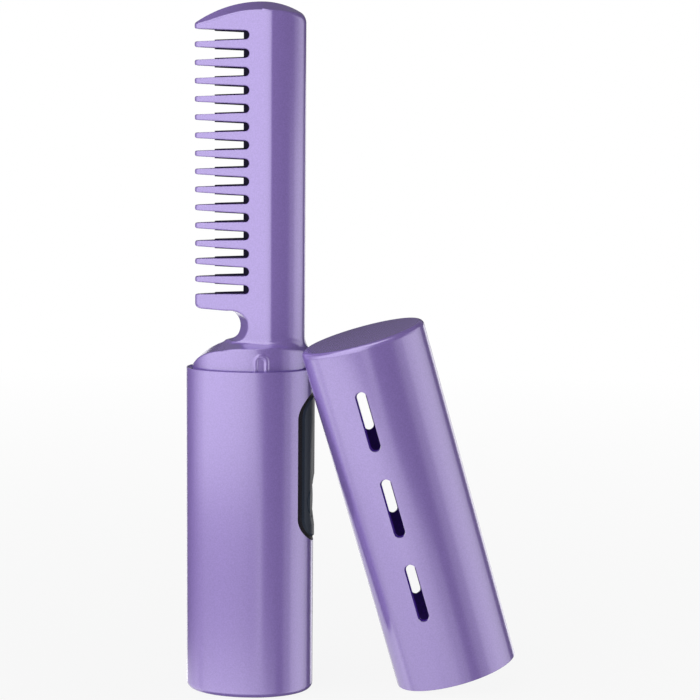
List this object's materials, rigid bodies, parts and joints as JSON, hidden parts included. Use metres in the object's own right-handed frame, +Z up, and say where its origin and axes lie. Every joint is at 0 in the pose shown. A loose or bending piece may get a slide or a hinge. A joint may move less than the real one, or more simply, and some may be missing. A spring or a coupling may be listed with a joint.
{
  "type": "cordless hair straightener",
  "caption": "Cordless heated comb straightener on an oval handle with a side control panel, and a vented protective cap leaning against it.",
  "frame": {"origin": "centre of the handle's flat base, on the surface it stands on", "axes": "+Z up along the handle to the comb, +X to the side with the control panel and the leaning cap, -Y to the front"},
  "size_m": [0.1002, 0.0395, 0.2072],
  "materials": {
    "lavender_plastic": "satin pearl",
    "grey_plastic": "matte",
    "cell_wrap": "glossy shrink wrap",
    "nickel": "bright",
    "foam": "matte",
    "circuit_board": "solder mask",
    "chip_black": "matte",
    "ferrite": "matte",
    "ceramic_tan": "satin",
    "white_plastic": "matte",
    "led_white": "gloss",
    "stamped_steel": "satin",
    "adhesive_black": "matte",
    "panel_dark": "satin",
    "silicone_sheet": "matte",
    "plate_blue": "ceramic coat, satin",
    "ceramic_white": "matte",
    "copper": "satin",
    "mica": "pearl",
    "red_silicone": "satin",
    "liner_dark": "matte"
  },
  "bodies": {
    "handle": {"handle_shell": "lavender_plastic", "inner_frame": "grey_plastic", "battery_cell": "cell_wrap", "battery_tabs": "nickel", "foam_pads": "foam", "main_board": "circuit_board", "control_chip": "chip_black", "charge_chip": "chip_black", "power_coil": "ferrite", "capacitors": "ceramic_tan", "power_transistors": "chip_black", "switch_body": "chip_black", "indicator_leds": "led_white", "light_guide": "grey_plastic", "usb_shell": "stamped_steel", "usb_tongue": "chip_black", "panel_adhesive": "adhesive_black", "control_panel": "panel_dark", "board_screws": "stamped_steel", "frame_screws": "stamped_steel", "heat_barrier": "silicone_sheet", "comb_front_shell": "lavender_plastic", "comb_back_shell": "lavender_plastic", "comb_screws": "stamped_steel", "heating_plate": "plate_blue", "ptc_elements": "ceramic_white", "electrode_strip": "copper", "mica_sheet": "mica", "thermistor": "chip_black", "thermal_cutoff": "nickel", "heater_leads": "red_silicone", "sensor_leads": "white_plastic", "battery_leads": "red_silicone"},
    "button": {"power_button": "panel_dark"},
    "plunger": {"switch_plunger": "white_plastic"},
    "cap": {"cap_shell": "lavender_plastic", "cap_liner": "liner_dark"}
  },
  "joints": [
    {"name": "button_press", "type": "slide", "parent": "handle", "child": "button", "axis": [-1, 0, 0], "range_m": [0, 0.0005], "stiffness_N_per_m": 200},
    {"name": "plunger_press", "type": "slide", "parent": "handle", "child": "plunger", "axis": [-1, 0, 0], "range_m": [0, 0.0005]},
    {"name": "cap_lift", "type": "slide", "parent": "handle", "child": "cap", "axis": [0, 0, 1], "range_m": [0, 0.12]}
  ],
  "couplings": [
    {"joint": "plunger_press", "follows": "button_press", "ratio": 1}
  ]
}
